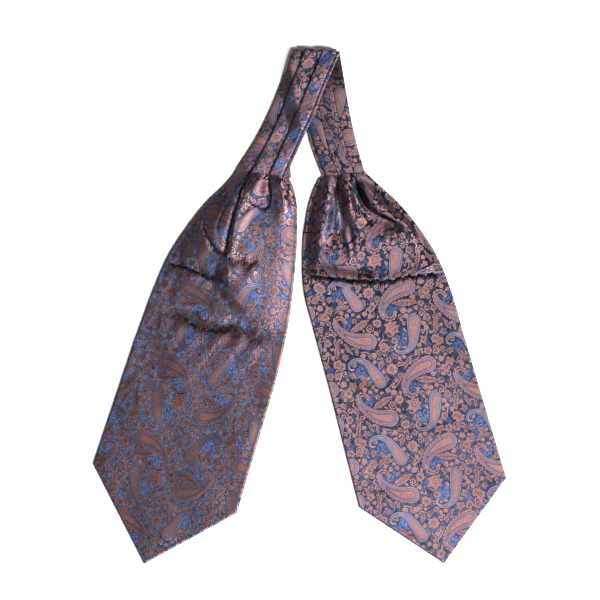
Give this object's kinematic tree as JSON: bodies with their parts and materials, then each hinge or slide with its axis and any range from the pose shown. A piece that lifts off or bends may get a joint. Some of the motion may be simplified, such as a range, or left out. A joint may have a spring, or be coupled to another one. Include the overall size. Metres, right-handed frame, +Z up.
{
  "type": "silk cravat",
  "caption": "Silk day cravat laid flat: a pleated neckband folded at the nape, with two wide pointed blades that puff out below their stitched pleats.",
  "frame": {"origin": "centre of the bounding box's underside, on the surface that the cravat lies on", "axes": "+Y towards the nape fold, along the longest side; +X to the right seen from above; +Z up, out of the surface"},
  "size_m": [0.4466, 0.5572, 0.0153],
  "materials": {
    "blade_silk": "satin jacquard silk",
    "back_silk": "satin jacquard silk",
    "band_silk": "satin jacquard silk, pressed in pleats"
  },
  "bodies": {
    "root": {"blade_front_left": "blade_silk", "blade_front_right": "blade_silk", "blade_back_left": "back_silk", "blade_back_right": "back_silk", "neckband_left": "band_silk", "neckband_right": "band_silk"}
  },
  "joints": []
}
